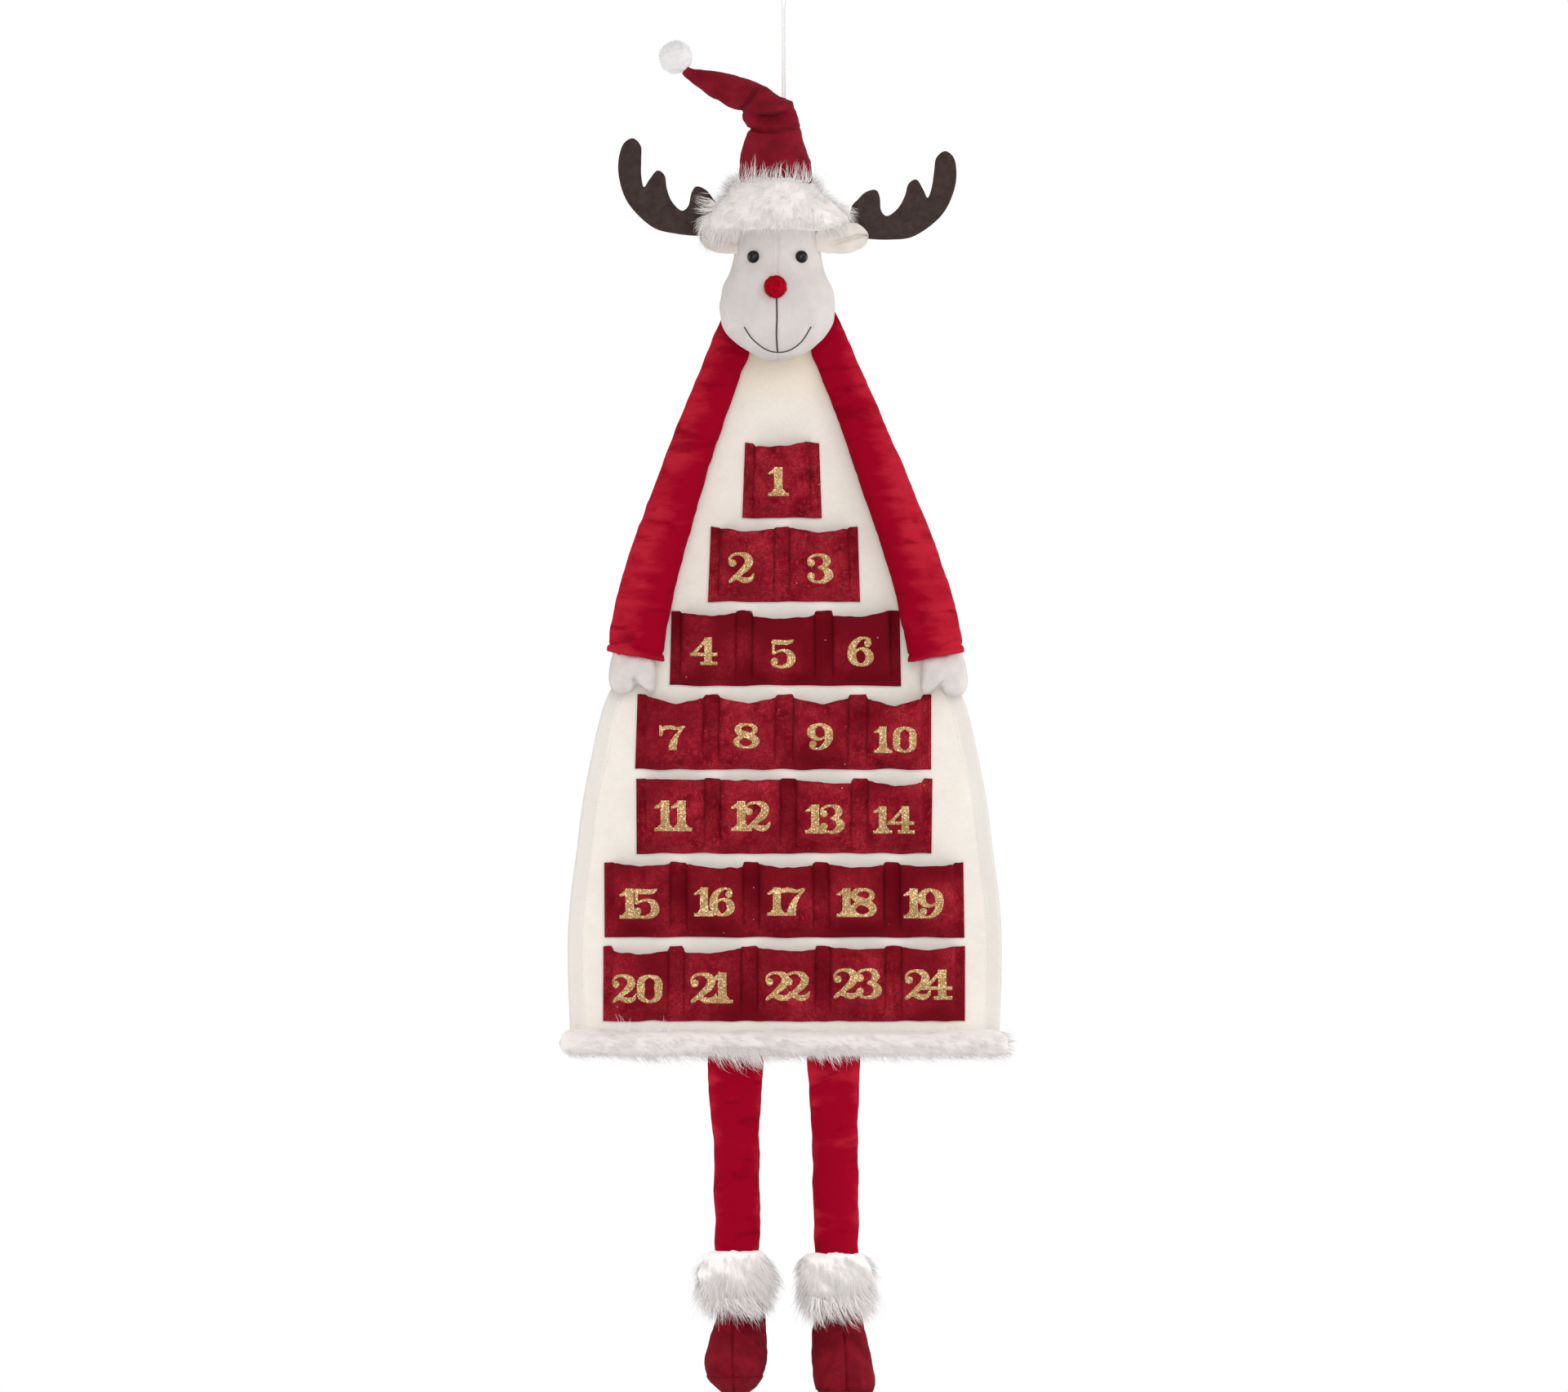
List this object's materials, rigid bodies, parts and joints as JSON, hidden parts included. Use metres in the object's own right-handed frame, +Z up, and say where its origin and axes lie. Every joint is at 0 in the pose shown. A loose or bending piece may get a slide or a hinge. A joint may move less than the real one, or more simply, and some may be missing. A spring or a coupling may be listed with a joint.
{
  "type": "fabric advent calendar",
  "caption": "Hanging felt advent calendar shaped as a stuffed reindeer in a pointed hat, with rows of numbered pockets on its bell-shaped body and dangling arms and legs.",
  "frame": {"origin": "inside top of the hanging loop, where a hook or nail holds it", "axes": "+Z up along the hanging cord, +Y back towards the wall, +X to the viewer's right; the front faces -Y"},
  "size_m": [0.3995, 0.0963, 1.2537],
  "materials": {
    "cream_felt": "matte needled felt, cream",
    "crimson_felt": "matte mottled felt, crimson",
    "white_fur": "long pile, white",
    "red_velour": "short pile velour with a soft sheen, red",
    "wine_felt": "matte felt, dark red",
    "white_fleece": "matte fleece, white",
    "brown_felt": "matte felt, dark brown",
    "nose_felt": "matte wool felt, red",
    "eye_plastic": "glossy, black",
    "dowel_wood": "plain, sanded",
    "white_cord": "twisted cotton, off-white"
  },
  "bodies": {
    "body": {"front_panel": "cream_felt", "back_panel": "cream_felt", "hem_fur": "white_fur", "hem_rod": "dowel_wood", "head": "white_fleece", "nose": "nose_felt", "hat_cone": "wine_felt", "hat_fur_brim": "white_fur", "hat_pompom": "white_fur", "hanging_cord": "white_cord", "pocket_row_1": "crimson_felt", "pocket_row_2": "crimson_felt", "pocket_row_3": "crimson_felt", "pocket_row_4": "crimson_felt", "pocket_row_5": "crimson_felt", "pocket_row_6": "crimson_felt", "pocket_row_7": "crimson_felt", "left_ear": "white_fleece", "left_antler": "brown_felt", "left_eye": "eye_plastic", "right_ear": "white_fleece", "right_antler": "brown_felt", "right_eye": "eye_plastic"},
    "left_arm": {"left_sleeve": "red_velour", "left_hand": "white_fleece"},
    "left_leg": {"left_leg": "red_velour", "left_fur_cuff": "white_fur", "left_boot": "wine_felt", "left_boot_sole": "wine_felt"},
    "right_arm": {"right_sleeve": "red_velour", "right_hand": "white_fleece"},
    "right_leg": {"right_leg": "red_velour", "right_fur_cuff": "white_fur", "right_boot": "wine_felt", "right_boot_sole": "wine_felt"}
  },
  "joints": [
    {"name": "left_arm_swing", "type": "hinge", "parent": "body", "child": "left_arm", "pos_m": [-0.046, -0.00618, -0.322], "axis": [0, 1, 0], "range_deg": [0, 75]},
    {"name": "right_arm_swing", "type": "hinge", "parent": "body", "child": "right_arm", "pos_m": [0.038, -0.00618, -0.322], "axis": [0, -1, 0], "range_deg": [0, 75]},
    {"name": "left_leg_swing", "type": "hinge", "parent": "body", "child": "left_leg", "pos_m": [-0.0425, -0.011, -0.95529], "axis": [-1, 0, 0], "range_deg": [-20, 80]},
    {"name": "right_leg_swing", "type": "hinge", "parent": "body", "child": "right_leg", "pos_m": [0.0439, -0.011, -0.95529], "axis": [-1, 0, 0], "range_deg": [-20, 80]}
  ]
}
